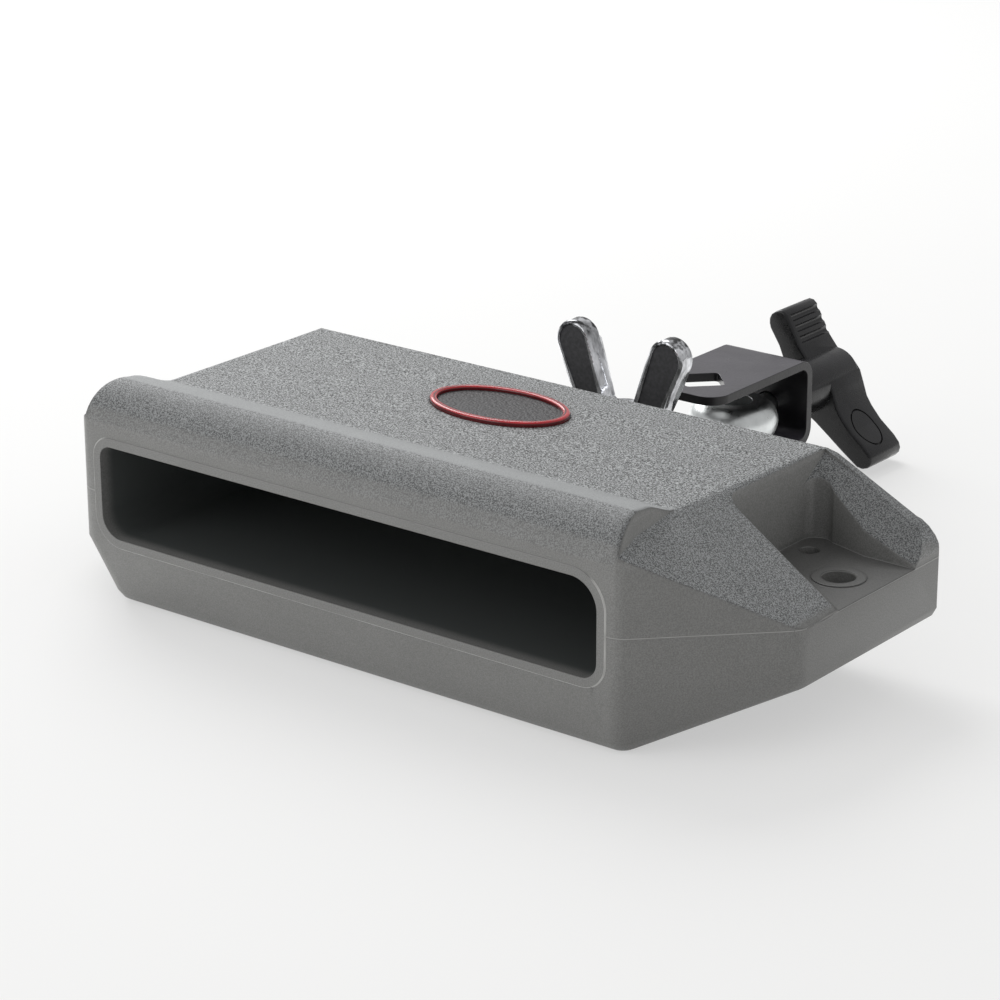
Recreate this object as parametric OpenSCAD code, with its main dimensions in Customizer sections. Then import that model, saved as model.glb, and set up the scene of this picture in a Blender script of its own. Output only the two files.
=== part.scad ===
// Moulded woodblock with side ears, a rear rod bracket and an eye bolt clamp.
// Millimetres. X runs along the slot, Y runs to the back, Z is up.
// The origin is the middle of the flat base.

/* [Block] */
// Front face to the middle of the base
front_to_mid = 62; // [50:0.5:75]
// Half width of the flat top
top_half = 100.8; // [80:0.1:120]
// Reach of the front corners past the flat top
front_out = 3.2; // [0:0.1:8]
// Reach of the ears past the flat top
ear_reach = 40.9; // [30:0.1:60]
// Front face to back face
block_depth = 113; // [90:0.5:140]
// Height of the crease above the chin and of the ear undersides' edge
crease_z = 23.6; // [15:0.1:30]
// Lowest level of the ears
ear_bottom_z = 20.2; // [12:0.1:26]
// Inset of the ears' rounded lower edge at that level
ear_edge_in = 2.6; // [0.5:0.1:5]
// Level of the ear floors and of the mould seam
seam_z = 40.2; // [32:0.1:46]
// Height of the top at the back edge
top_back_z = 66.4; // [55:0.1:80]
// Height of the top just behind the lip
top_front_z = 67.9; // [56:0.1:82]
// Height of the lip crest
lip_z = 74; // [68:0.1:90]
// Radius of the lip's front
lip_r = 13.8; // [6:0.1:16]
// Front face to the foot of the lip's back
lip_foot = 37; // [30:0.5:50]
// Inward taper of the lip's end walls down to its foot
lip_taper = 2; // [0:0.1:6]
// Height of the side webs' upper edge below the top behind the lip
web_drop = 1.1; // [0:0.1:3]
// Plan radius of the upright corners
corner_r = 8; // [2:0.5:20]
// Plan radius of the ears' back corners
back_corner_r = 1.2; // [0.5:0.1:6]
// Reach of the base past the front corners
base_out = 0.5; // [-10:0.5:6]
// Front face to the front edge of the base
base_front = 6.2; // [4:0.1:20]
// Back face to the back edge of the base
base_inset = 5; // [0:0.5:20]
// Radius of the base's lower edge
base_r = 7; // [1:0.5:12]
// Plan radius of the base's corners
base_corner_r = 8; // [7:0.5:20]

/* [Slot] */
// Wall beside each end of the sound slot at the front face
slot_wall = 6.8; // [4:0.1:30]
// Height of the sound slot
slot_h = 30.4; // [18:0.2:40]
// Lower edge of the slot above the base
slot_z = 25.7; // [15:0.1:35]
// Radius of the slot's upper left corner
slot_r_left = 4.2; // [2:0.1:14]
// Radius of the slot's lower left corner
slot_r_left_low = 7.6; // [2:0.1:14]
// Radius of the slot's upper right corner
slot_r_top = 9.4; // [2:0.1:14]
// Radius of the slot's lower right corner
slot_r_low = 5.6; // [2:0.1:14]
// Depth of the sound chamber from the front face
slot_depth = 103; // [60:0.5:120]
// Width of the raised rim around the slot
rim_w = 3.0; // [1:0.1:5]
// Height of the raised rim around the slot
rim_t = 0.4; // [0.1:0.05:1]

/* [Ears] */
// Front wall of the ear pocket from the front face
pocket_front = 57; // [45:0.1:70]
// Back wall of the ear pocket to the back face beside the block
pocket_back_in = 8; // [3:0.1:20]
// Back wall of the ear pocket to the back face at the outer end
pocket_back_out = 14.5; // [3:0.1:25]
// Distance from the block over which the back wall swings forward
pocket_swing = 22.6; // [5:0.1:35]
// Inner pocket wall past the flat top
pocket_gap = 0.6; // [0:0.1:5]
// Inner upper corner of the back web's sloping face below the top
web_face_drop = 4.6; // [1:0.1:12]
// Radius of the inner pocket corners
pocket_r = 5; // [1:0.5:10]
// Fall of the back web's sloping face along the ear
web_fall = 22.2; // [0:0.1:45]
// Forward tilt of the back web's sloping face
web_tilt = 31; // [5:0.5:60]
// Width of the level ridge along the back web
web_ridge = 2.6; // [1:0.1:8]
// Height of the back web's outer end over the ear floor
web_end_h = 10.8; // [4:0.1:20]
// Length of the rounding at the back web's outer end
web_end_l = 8.8; // [4:0.1:20]
// Height of the rounding at the back web's outer end
web_end_r = 9; // [4:0.1:10]
// Radius of the large hole
ear_hole_r = 5.2; // [3:0.05:8]
// Large hole to the outer wall of the ear
ear_hole_edge = 14.4; // [10:0.1:25]
// Large hole from the front face
ear_hole_y = 79.2; // [60:0.1:100]
// Radius of the small hole
pin_hole_r = 2.95; // [1.5:0.05:5]
// Small hole to the inner pocket wall
pin_hole_wall = 6.6; // [4:0.1:20]
// Small hole to the back face
pin_hole_back = 20; // [12:0.1:30]
// Outer radius of the land around the large hole
land_r = 8.3; // [6:0.1:12]
// Height of the land around the large hole
land_t = 0.3; // [0.1:0.05:1]
// Radius of the spot-face under the large hole
spot_r = 10.5; // [7:0.1:13]
// Radius of the spot-face under the small hole
pin_spot_r = 5; // [3.5:0.1:7]

/* [Rear shelf] */
// Half width of the rear shelf
shelf_half = 22; // [16:0.5:40]
// Rear shelf past the middle of the locating pin
shelf_tail = 4.8; // [3.5:0.1:10]
// Plan radius of the shelf's back corners
shelf_r = 6; // [1:0.5:10]
// Top of the rear shelf
shelf_top_z = 37; // [28:0.5:42]
// Underside of the rear shelf
shelf_bottom_z = 19.4; // [12:0.1:26]
// Bracket bolt from the front face
bolt_y = 146; // [130:0.5:160]
// Bolt to locating pin
pin_pitch = 23.7; // [15:0.1:30]

/* [Underside] */
// Columns of recesses under the block
core_cols = 7; // [3:1:9]
// Rib thickness under the block
rib_t = 5; // [2:0.5:8]
// Rim width under the block
foot_w = 12; // [8:0.5:20]
// Depth of the underside recesses
core_depth = 18; // [8:0.5:21]
// Plan radius of the recesses' corners
core_r = 4; // [1:0.5:8]
// Radius of the solid pad in the middle of the base
pad_r = 14; // [6:0.5:25]

/* [Badge] */
// Badge middle from the front face
badge_y = 79.6; // [60:0.1:95]
// Half length of the oval badge
badge_a = 25; // [10:0.1:40]
// Half width of the oval badge
badge_b = 16.3; // [6:0.1:30]
// Thickness of the badge plate
badge_t = 0.8; // [0.3:0.05:2]
// Width of the raised badge ring
badge_ring_w = 2.4; // [1:0.1:5]
// Height of the raised badge ring over the plate
badge_ring_t = 1.3; // [0.2:0.05:2]
// Depth of the badge seat in the top
badge_seat = 0.5; // [0.1:0.05:1.5]
// Clearance around the badge in its seat
badge_clear = 0.15; // [0.05:0.05:0.5]

/* [Bracket] */
// Width of the bracket strap
strap_w = 33; // [20:0.5:45]
// Thickness of the bracket strap
strap_t = 3.1; // [2:0.1:6]
// Top of the upper plate
plate_top_z = 48.9; // [40:0.1:60]
// Front edge of the upper plate
plate_front = 176; // [160:0.5:185]
// Back face of the bracket leg
leg_back = 235; // [220:0.5:250]
// Outside radius of the bends
bend_r = 11.5; // [5:0.5:14]
// Front end of the lower plate before the bolt
foot_reach = 16; // [10:0.5:24]
// Corner radius of the plates
plate_corner_r = 6; // [1:0.5:8]
// Rod axis from the front face
rod_y = 191.4; // [180:0.1:200]
// Side of the square rod openings
rod_sq = 13.6; // [10:0.1:20]
// Clearance of the eye bolt shank in the leg
leg_clear = 0.4; // [0.1:0.05:1]

/* [Bracket bolt and wing nut] */
// Radius of the bracket bolt
bolt_r = 4; // [2.5:0.1:6]
// Radius of the bolt head
bolt_head_r = 9.5; // [6:0.1:14]
// Height of the bolt head
bolt_head_h = 4.4; // [2:0.1:8]
// Side of the square bolt neck
neck_sq = 8; // [5:0.1:12]
// Clearance around the square neck in the strap
neck_clear = 0.1; // [0:0.05:0.5]
// Bolt end below the top of the wing nut hub
bolt_sink = 0.6; // [0:0.1:3]
// Outer radius of the flat washer
washer_r = 12; // [8:0.1:16]
// Thickness of the flat washer
washer_t = 2; // [1:0.1:4]
// Clearance of the washers on the bolt
washer_clear = 0.3; // [0.1:0.05:1]
// Outer radius of the split washer
split_r = 7.4; // [5:0.1:12]
// Thickness of the split washer
split_t = 2.2; // [1:0.1:4]
// Width of the cut in the split washer
split_gap = 1.4; // [0.5:0.1:4]
// Thread clearance of nut and knob on their bolts
thread_clear = 0.05; // [0.01:0.01:0.1]
// Radius of the wing nut hub at its base
hub_r = 8.6; // [6:0.1:12]
// Radius of the wing nut hub at its top
hub_top_r = 6.8; // [5:0.1:12]
// Height of the wing nut hub
hub_h = 9.4; // [6:0.1:20]
// Height of the wing tips over the nut base
wing_h = 35.7; // [20:0.1:50]
// Half span to the middle of the wing tips
wing_x = 18.7; // [10:0.1:30]
// Lower middle of the wings from the axis
wing_root_x = 11.4; // [6:0.1:20]
// Half width of the wings at the tips
wing_tip_r = 7; // [4:0.1:10]
// Half width of the wings at the root
wing_root_r = 5.6; // [3:0.1:10]
// Thickness of the wings
wing_t = 6.8; // [3:0.1:12]
// Rim left around the recess in the wing faces
wing_rim = 1.6; // [0.8:0.1:3]
// Depth of the recess in the wing faces
wing_recess = 0.5; // [0.2:0.05:1.5]
// Radius of the locating pin
pin_r = 2.9; // [1.5:0.05:5]
// Height of the locating pin over the strap
pin_h = 7; // [3:0.5:12]

/* [Eye bolt] */
// Height of the eye bolt axis
eye_z = 28.4; // [24:0.1:40]
// Gap between the eye's neck and the leg, as in the photograph
eye_gap = 4.2; // [3:0.1:12]
// Radius of the eye hole
eye_hole_r = 6.5; // [5:0.05:9]
// Outer radius of the eye
eye_r = 15.6; // [10:0.05:18]
// Height of the eye along its hole
eye_h = 14; // [8:0.1:16]
// Length of the neck behind the eye
neck_l = 1.4; // [0.5:0.1:4]
// Flat part of the eye faces past the hole
eye_flat = 3.2; // [1:0.1:6]
// Radius of the threaded shank
shank_r = 4; // [2.5:0.1:6]
// Length of the shank past the leg
shank_tail = 33; // [20:0.5:40]
// Outer radius of the washer behind the leg
knob_washer_r = 9.4; // [6:0.1:14]
// Thickness of the washer behind the leg
knob_washer_t = 1.6; // [0.8:0.1:3]

/* [Knob] */
// Radius of the knob boss
boss_r = 9; // [7:0.1:14]
// Length of the knob boss
boss_l = 25.5; // [12:0.5:32]
// Depth of the knob wings along the axis
knob_d = 16; // [8:0.5:24]
// Lean of the knob from upright
knob_lean = 29; // [0:1:90]
// Reach of the upper knob wing
knob_up = 26.5; // [20:0.5:40]
// Reach of the lower knob wing
knob_down = 35; // [20:0.5:45]
// Thickness of the knob wings
knob_t = 10.5; // [6:0.1:16]
// Sideways step of the knob wings
knob_step = 2.6; // [0:0.1:8]
// Room for the shank to travel back in the knob
back_travel = 4; // [3:0.5:6]
// Clearance of the shank in the knob behind the insert
knob_clear = 0.6; // [0.2:0.05:1.5]
// Across flats of the threaded insert
insert_af = 13; // [10:0.1:17]
// Length of the threaded insert
insert_l = 10; // [6:0.5:16]
// Width of the grip grooves
groove_w = 1.8; // [0.6:0.1:3]
// Radius of the knob wing tips
knob_tip_r = 3.6; // [1:0.1:5]
// Number of grip grooves on the upper wing
groove_n = 4; // [0:1:6]
// Spacing of the grip grooves
groove_pitch = 4.2; // [2:0.1:6]
// Half length of the oval recess in the knob wings
oval_a = 7; // [3:0.1:10]
// Half width of the oval recess in the knob wings
oval_b = 6; // [3:0.1:8]
// Depth of the oval recess
oval_t = 0.5; // [0.2:0.05:1.5]

/* [Hidden] */
// reach of the solids that cut or bound others
big = 300;
// overlap of solids that are joined
e = 0.01;
// a chamfered corner's set-back for each mm of inset
corner_k = 0.414;
boss_start = leg_back + knob_washer_t;
nut_z = shelf_top_z + washer_t + split_t;
strap_z = shelf_bottom_z - strap_t;
front_half = top_half + front_out;
ear_half = top_half + ear_reach;
base_half = front_half + base_out;
base_back = block_depth - base_inset;
slot_w = 2 * (front_half - slot_wall);
pocket_in = top_half + pocket_gap;
ear_hole_x = ear_half - ear_hole_edge;
pin_hole_x = pocket_in + pin_hole_wall;
pin_hole_y = block_depth - pin_hole_back;
pin_y = bolt_y + pin_pitch;
shelf_end = pin_y + shelf_tail;
eye_y = leg_back - strap_t - eye_gap - neck_l - eye_r;
shank_end = leg_back + shank_tail;
bolt_top_z = nut_z + hub_h - bolt_sink;
back_r = 1.4;
top_tilt = atan((top_front_z - top_back_z) / (block_depth - back_r - lip_foot));

function arc(cx, cy, r, a0, a1, n) =
    [for (i = [0 : n]) [cx + r * cos(a0 + (a1 - a0) * i / n), cy + r * sin(a0 + (a1 - a0) * i / n)]];

// the same points on the other side, last one first
function mirrored(pts) = [for (i = [len(pts) - 1 : -1 : 0]) [-pts[i].x, pts[i].y]];

// smooth rise or fall from one point to another
function ramp(x0, z0, x1, z1, n) =
    [for (i = [0 : n]) [x0 + (x1 - x0) * i / n, z0 + (z1 - z0) * (1 - cos(180 * i / n)) / 2]];

function ellipse_pts(a, b, n) = [for (i = [0 : n - 1]) [a * cos(360 * i / n), b * sin(360 * i / n)]];

// rounded rectangle centred on the origin, from squares and circles
module round_rect(w, h, r) {
    square([w - 2 * r, h], center = true);
    square([w, h - 2 * r], center = true);
    for (x = [-1, 1], y = [-1, 1]) translate([x * (w / 2 - r), y * (h / 2 - r)]) circle(r = r, $fn = 64);
}

// block outline seen from above, front face on y = 0, pulled in by d
module plan(d) {
    f = front_half - d * corner_k;
    w = ear_half - d;
    k = ear_half - front_half;
    r = corner_r;
    t = r * tan(22.5);
    b = block_depth - d;
    pts = concat(
        arc(f - t, d + r, r, -90, -45, 5),
        arc(w - r, k + d * corner_k + t, r, -45, 0, 5),
        arc(w - back_corner_r, b - back_corner_r, back_corner_r, 0, 90, 3));
    polygon(concat(pts, mirrored(pts)));
}

// slice of the base at one angle of its rounded lower edge
module base_slice(a) {
    d = base_r * (1 - cos(a));
    translate([0, (base_front + base_back) / 2, base_r * (1 - sin(a))]) linear_extrude(height = e)
        round_rect(2 * (base_half - d), base_back - base_front - 2 * d, base_corner_r + 0.5 - d);
}

// side view of the block above the crease, x = depth, y = height
module side_profile() {
    crest = arc(lip_r, lip_z - lip_r, lip_r, 180, 76, 14);
    end = crest[len(crest) - 1];
    polygon(concat(
        [[0, crease_z - 1]],
        crest,
        ramp(end.x, end.y, lip_foot, top_front_z, 8),
        [[block_depth - back_r, top_back_z], [block_depth, top_back_z - back_r],
            [block_depth, crease_z - 1]]));
}

// front view of the side webs, x = width, y = height
module web_profile() {
    z1 = top_front_z - web_drop;
    half = [[ear_half, crease_z - 1], [ear_half, seam_z], [top_half, z1],
        [top_half - lip_taper, top_front_z + 0.3]];
    polygon(concat(half, mirrored(half)));
}

// lip seen from above, wider at the front corners
module lip_plan() {
    half = [[front_half, 0], [top_half, lip_r], [top_half - lip_taper, lip_foot]];
    polygon(concat(half, mirrored(half)));
}

// front view of the back web, higher than the side webs
module back_web_profile() {
    x1 = ear_half - web_end_l;
    z1 = seam_z + web_end_h;
    // the outer end's rounding is a little flatter than an ellipse
    end = [for (a = [0 : 18 : 90])
        [x1 + web_end_l * pow(cos(a), 1.3), z1 - web_end_r * (1 - pow(sin(a), 1.3))]];
    polygon(concat(
        [[top_half - 4, crease_z], [ear_half, crease_z]],
        end,
        [[top_half, top_back_z + 0.4], [top_half - 4, top_back_z + 0.4]]));
}

// pocket over an ear, seen from above
module pocket_plan(x0) {
    b0 = block_depth - pocket_back_in;
    b1 = block_depth - pocket_back_out;
    x1 = ear_half + 5;
    polygon([[x0, pocket_front], [x1, pocket_front], [x1, b1], [x0 + pocket_swing, b1], [x0, b0]]);
}

module ear_pocket() {
    r = pocket_r;
    b0 = block_depth - pocket_back_in - 1;
    // upright walls with rounded inner corners
    translate([0, 0, seam_z]) linear_extrude(height = lip_z - seam_z) {
        difference() {
            pocket_plan(pocket_in);
            translate([pocket_in - 1, pocket_front - 1]) square(r + 1);
            translate([pocket_in - 1, b0 - r]) square([r + 1, r + 4]);
        }
        translate([pocket_in + r, pocket_front + r]) circle(r = r, $fn = 48);
        translate([pocket_in + r, b0 - r]) circle(r = r, $fn = 48);
    }
    // room over the sloping face of the back web
    intersection() {
        translate([pocket_in, pocket_front + r, seam_z])
            cube([ear_half, block_depth - web_ridge - pocket_front - r, lip_z - seam_z]);
        translate([pocket_in, block_depth - pocket_back_in, top_back_z - web_face_drop])
            rotate([web_tilt, web_fall, 0]) translate([-big / 2, -big / 2, 0]) cube(big);
    }
}

module core(x0, x1, y0, y1) {
    translate([(x0 + x1) / 2, (y0 + y1) / 2, -1]) linear_extrude(height = core_depth + 1)
        round_rect(x1 - x0, y1 - y0, core_r);
}

module block_raw() {
    intersection() {
        translate([0, 0, crease_z - e]) linear_extrude(height = lip_z) plan(0);
        rotate([90, 0, 90]) translate([0, 0, -big]) linear_extrude(height = 2 * big) side_profile();
        union() {
            rotate([90, 0, 0]) translate([0, 0, -big]) linear_extrude(height = 2 * big) web_profile();
            translate([0, 0, crease_z - e]) linear_extrude(height = lip_z) lip_plan();
            for (s = [0, 1]) mirror([s, 0, 0])
                translate([0, block_depth + 1, 0]) rotate([90, 0, 0])
                    linear_extrude(height = pocket_back_out + 1) back_web_profile();
        }
    }
    hull() {
        for (a = [0, 20, 40, 65, 90]) base_slice(90 - a);
        translate([0, 0, ear_bottom_z]) linear_extrude(height = e) plan(ear_edge_in);
        translate([0, 0, ear_bottom_z + 1.2]) linear_extrude(height = e) plan(ear_edge_in - 1.7);
        translate([0, 0, crease_z]) linear_extrude(height = e) plan(0);
    }
    // rear shelf, rooted in the block
    root = block_depth - shelf_r - 2;
    translate([0, (root + shelf_end) / 2, shelf_bottom_z])
        linear_extrude(height = shelf_top_z - shelf_bottom_z)
            round_rect(2 * shelf_half, shelf_end - root, shelf_r);
}

// sound slot seen from the front, grown by g
module slot_shape(g) {
    w = slot_w / 2;
    h = slot_h / 2;
    polygon(concat(
        arc(w - slot_r_top, h - slot_r_top, slot_r_top + g, 0, 90, 12),
        arc(slot_r_left - w, h - slot_r_left, slot_r_left + g, 90, 180, 8),
        arc(slot_r_left_low - w, slot_r_left_low - h, slot_r_left_low + g, 180, 270, 8),
        arc(w - slot_r_low, slot_r_low - h, slot_r_low + g, 270, 360, 8)));
}

module block_body() {
    color([0.44, 0.44, 0.43]) translate([0, -front_to_mid, 0]) difference() {
        union() {
            difference() {
                block_raw();
                for (s = [0, 1]) mirror([s, 0, 0]) ear_pocket();
            }
            // rim around the slot
            translate([0, e, slot_z + slot_h / 2]) rotate([90, 0, 0]) linear_extrude(height = rim_t + e)
                slot_shape(rim_w);
            for (s = [-1, 1]) translate([s * ear_hole_x, ear_hole_y, seam_z - e])
                cylinder(h = land_t + e, r = land_r, $fn = 64);
        }
        // sound chamber
        translate([0, slot_depth, slot_z + slot_h / 2]) rotate([90, 0, 0])
            linear_extrude(height = slot_depth + 5) slot_shape(0);
        // ear holes with their spot-faces below
        for (s = [-1, 1]) {
            translate([s * ear_hole_x, ear_hole_y, -1]) {
                cylinder(h = 60, r = ear_hole_r, $fn = 64);
                cylinder(h = ear_bottom_z + 1, r = spot_r, $fn = 64);
            }
            translate([s * pin_hole_x, pin_hole_y, -1]) {
                cylinder(h = 60, r = pin_hole_r, $fn = 48);
                cylinder(h = ear_bottom_z + 1, r = pin_spot_r, $fn = 48);
            }
        }
        // shelf holes
        translate([0, bolt_y, 0]) cylinder(h = 60, r = ear_hole_r, $fn = 64);
        translate([0, pin_y, 0]) cylinder(h = 60, r = pin_hole_r, $fn = 48);
        // badge seat
        on_top(badge_y) linear_extrude(height = 12)
            polygon(ellipse_pts(badge_a + badge_clear, badge_b + badge_clear, 72));
        // underside recesses, open to below, ribs left between them
        difference() {
            union() {
                // pitch of the recesses, a whole number of tenths
                cell = floor(10 * (2 * (base_half - foot_w) + rib_t) / core_cols) / 10;
                for (i = [0 : core_cols - 1]) {
                    x0 = foot_w - base_half + i * cell;
                    core(x0, x0 + cell - rib_t, base_front + foot_w, front_to_mid - rib_t / 2);
                    core(x0, x0 + cell - rib_t, front_to_mid + rib_t / 2, base_back - foot_w);
                }
            }
            translate([0, front_to_mid, -2]) cylinder(h = 40, r = pad_r, $fn = 64);
        }
    }
}

// places its children on the floor of the badge seat, square to the sloping top
module on_top(y) {
    translate([0, y, top_front_z - (y - lip_foot) * tan(top_tilt)]) rotate([-top_tilt, 0, 0])
        translate([0, 0, -badge_seat]) children();
}

module badge() {
    color([0.75, 0.1, 0.12]) translate([0, -front_to_mid, 0]) on_top(badge_y) {
        linear_extrude(height = badge_t) polygon(ellipse_pts(badge_a, badge_b, 72));
        linear_extrude(height = badge_t + badge_ring_t) difference() {
            polygon(ellipse_pts(badge_a, badge_b, 72));
            polygon(ellipse_pts(badge_a - badge_ring_w, badge_b - badge_ring_w, 72));
        }
    }
}

// strap seen from the side, x = depth, y = height
module strap_profile() {
    r = bend_r;
    ri = bend_r - strap_t;
    y0 = bolt_y - foot_reach;
    z0 = strap_z;
    z1 = plate_top_z;
    translate([y0, z0]) square([leg_back - r - y0, strap_t]);
    translate([plate_front, z1 - strap_t]) square([leg_back - r - plate_front, strap_t]);
    translate([leg_back - strap_t, z0 + r]) square([strap_t, z1 - z0 - 2 * r]);
    for (k = [0, 1]) translate([leg_back - r, k == 0 ? z0 + r : z1 - r]) difference() {
        intersection() {
            circle(r = r, $fn = 96);
            translate([0, k == 0 ? -r : 0]) square([r, r]);
        }
        circle(r = ri, $fn = 96);
    }
}

module plate_end(y) {
    // rounds the two corners of a plate end at depth y
    for (s = [-1, 1]) translate([s * (strap_w / 2 - plate_corner_r), y + plate_corner_r]) difference() {
        translate([s > 0 ? 0 : -plate_corner_r - 1, -plate_corner_r - 1]) square(plate_corner_r + 1);
        circle(r = plate_corner_r, $fn = 64);
    }
}

module bracket() {
    color([0.08, 0.08, 0.09]) translate([0, -front_to_mid, 0]) difference() {
        rotate([90, 0, 90]) translate([0, 0, -strap_w / 2]) linear_extrude(height = strap_w) strap_profile();
        // rod openings in both plates
        translate([0, rod_y, 0]) linear_extrude(height = 70) rotate(45) square(rod_sq, center = true);
        // shank hole in the leg
        translate([0, leg_back + 5, eye_z]) rotate([90, 0, 0])
            cylinder(h = strap_t + 10, r = shank_r + leg_clear, $fn = 64);
        // square hole for the bolt neck
        translate([0, bolt_y, strap_z - 1]) linear_extrude(height = strap_t + 2)
            square(neck_sq + 2 * neck_clear, center = true);
        translate([0, pin_y, 0]) cylinder(h = strap_z + strap_t + 2, r = pin_r, $fn = 48);
        translate([0, 0, plate_top_z - strap_t - 1]) linear_extrude(height = strap_t + 2)
            plate_end(plate_front);
        translate([0, 0, strap_z - 1]) linear_extrude(height = strap_t + 2)
            plate_end(bolt_y - foot_reach);
    }
}

module locating_pin() {
    color([0.7, 0.7, 0.72]) translate([0, pin_y - front_to_mid, strap_z]) {
        cylinder(h = strap_t + pin_h - 1, r = pin_r, $fn = 48);
        translate([0, 0, strap_t + pin_h - 1]) cylinder(h = 1, r1 = pin_r, r2 = pin_r - 1, $fn = 48);
    }
}

module bracket_bolt() {
    dome_r = (bolt_head_r * bolt_head_r + bolt_head_h * bolt_head_h) / (2 * bolt_head_h);
    color([0.72, 0.73, 0.75]) translate([0, bolt_y - front_to_mid, 0]) {
        // domed head under the strap
        translate([0, 0, strap_z]) intersection() {
            translate([0, 0, -bolt_head_h]) cylinder(h = bolt_head_h, r = bolt_head_r, $fn = 64);
            translate([0, 0, dome_r - bolt_head_h]) sphere(r = dome_r, $fn = 64);
        }
        translate([0, 0, strap_z + strap_t / 2]) cube([neck_sq, neck_sq, strap_t], center = true);
        translate([0, 0, strap_z + strap_t - e])
            cylinder(h = bolt_top_z - 1 - strap_z - strap_t + e, r = bolt_r, $fn = 64);
        translate([0, 0, bolt_top_z - 1]) cylinder(h = 1, r1 = bolt_r, r2 = bolt_r - 1, $fn = 64);
    }
}

module flat_washer() {
    color([0.75, 0.76, 0.78]) translate([0, bolt_y - front_to_mid, shelf_top_z]) difference() {
        cylinder(h = washer_t, r = washer_r, $fn = 64);
        translate([0, 0, -1]) cylinder(h = washer_t + 2, r = bolt_r + washer_clear, $fn = 64);
    }
}

module split_washer() {
    color([0.6, 0.61, 0.63]) translate([0, bolt_y - front_to_mid, shelf_top_z + washer_t]) difference() {
        cylinder(h = split_t, r = split_r, $fn = 64);
        translate([0, 0, -1]) cylinder(h = split_t + 2, r = bolt_r + washer_clear, $fn = 64);
        translate([(bolt_r + split_r) / 2, 0, split_t / 2]) rotate([30, 0, 0])
            cube([split_r, split_gap, 3 * split_t], center = true);
    }
}

// one wing seen from the front, pulled in by d
module wing_shape(d) {
    tz = wing_h - wing_tip_r;
    rz = wing_root_r + 4;
    ax = wing_x - wing_root_x;
    az = tz - rz;
    l = sqrt(ax * ax + az * az);
    g = atan2(ax, az);
    k = asin((wing_tip_r - wing_root_r) / l);
    r1 = wing_tip_r - d;
    r2 = wing_root_r - d;
    translate([wing_x, tz]) circle(r = r1, $fn = 64);
    translate([wing_root_x, rz]) circle(r = r2, $fn = 64);
    polygon([
        [wing_x + r1 * cos(-g - k), tz + r1 * sin(-g - k)],
        [wing_x - r1 * cos(-g + k), tz - r1 * sin(-g + k)],
        [wing_root_x - r2 * cos(-g + k), rz - r2 * sin(-g + k)],
        [wing_root_x + r2 * cos(-g - k), rz + r2 * sin(-g - k)]]);
}

// web that joins a wing to the hub
module wing_web() {
    x = bolt_r + 0.5;
    polygon([[x, hub_h * 0.15], [wing_root_x + 1.5, hub_h * 0.45],
        [wing_root_x + wing_root_r - 0.4, hub_h * 0.85], [wing_root_x, hub_h * 1.5], [x, hub_h]]);
}

module wing_nut() {
    color([0.82, 0.83, 0.85]) translate([0, bolt_y - front_to_mid, nut_z]) difference() {
        union() {
            cylinder(h = hub_h, r1 = hub_r, r2 = hub_top_r, $fn = 64);
            for (s = [0, 1]) mirror([s, 0, 0]) translate([0, wing_t / 2, 0]) rotate([90, 0, 0]) {
                linear_extrude(height = wing_t) {
                    wing_shape(0);
                    wing_web();
                }
            }
        }
        translate([0, 0, -1]) cylinder(h = hub_h + 6, r = bolt_r + thread_clear, $fn = 64);
        // recesses in both faces of the wings, from above the hub up
        for (s = [0, 1], q = [-1, 1]) mirror([s, 0, 0])
            translate([0, q * (wing_t / 2 + 1 - wing_recess) + 1, 0]) rotate([90, 0, 0])
                linear_extrude(height = 2) intersection() {
                    wing_shape(wing_rim);
                    translate([0, hub_h + wing_rim]) square(2 * wing_h);
                }
    }
}

module eye_bolt() {
    d = eye_r - eye_hole_r - eye_flat;
    color([0.78, 0.8, 0.8]) translate([0, -front_to_mid, 0]) {
        translate([0, eye_y, eye_z]) difference() {
            union() {
                rotate_extrude($fn = 96) polygon(concat(
                    [[0, -eye_h / 2]],
                    [for (i = [-8 : 8]) [eye_r - d * (1 - cos(i * 90 / 8)), eye_h / 2 * sin(i * 90 / 8)]],
                    [[0, eye_h / 2]]));
                rotate([-90, 0, 0]) translate([0, 0, eye_r - 3])
                    cylinder(h = 3 + neck_l, r1 = shank_r + neck_l, r2 = shank_r, $fn = 64);
            }
            translate([0, 0, -eye_h]) cylinder(h = 2 * eye_h, r = eye_hole_r, $fn = 96);
        }
        translate([0, eye_y + eye_r - 1, eye_z]) rotate([-90, 0, 0]) {
            cylinder(h = shank_end - eye_y - eye_r, r = shank_r, $fn = 64);
            translate([0, 0, shank_end - eye_y - eye_r])
                cylinder(h = 1, r1 = shank_r, r2 = shank_r - 1, $fn = 64);
        }
    }
}

module knob_washer() {
    color([0.7, 0.71, 0.73]) translate([0, boss_start - front_to_mid, eye_z]) rotate([90, 0, 0])
        difference() {
            cylinder(h = knob_washer_t, r = knob_washer_r, $fn = 64);
            translate([0, 0, -1]) cylinder(h = knob_washer_t + 2, r = shank_r + leg_clear, $fn = 64);
        }
}

// knob wings seen from the back, upright, before the lean
module knob_shape() {
    t = knob_t;
    s = knob_step;
    for (reach = [knob_up, -knob_down]) rotate(reach > 0 ? 0 : 180) {
        top = abs(reach);
        polygon(concat(
            [[-s - t / 2, 0]],
            arc(-s - t / 2 + knob_tip_r, top - knob_tip_r, knob_tip_r, 180, 90, 5),
            arc(-s + t / 2 - knob_tip_r, top - knob_tip_r, knob_tip_r, 90, 0, 5),
            arc(-s + t / 2 + boss_r, boss_r * 1.7, boss_r, 180, 225, 5),
            [[s + t / 2, boss_r * 0.1], [s + t / 2, -boss_r / 2]]));
    }
}

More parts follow.
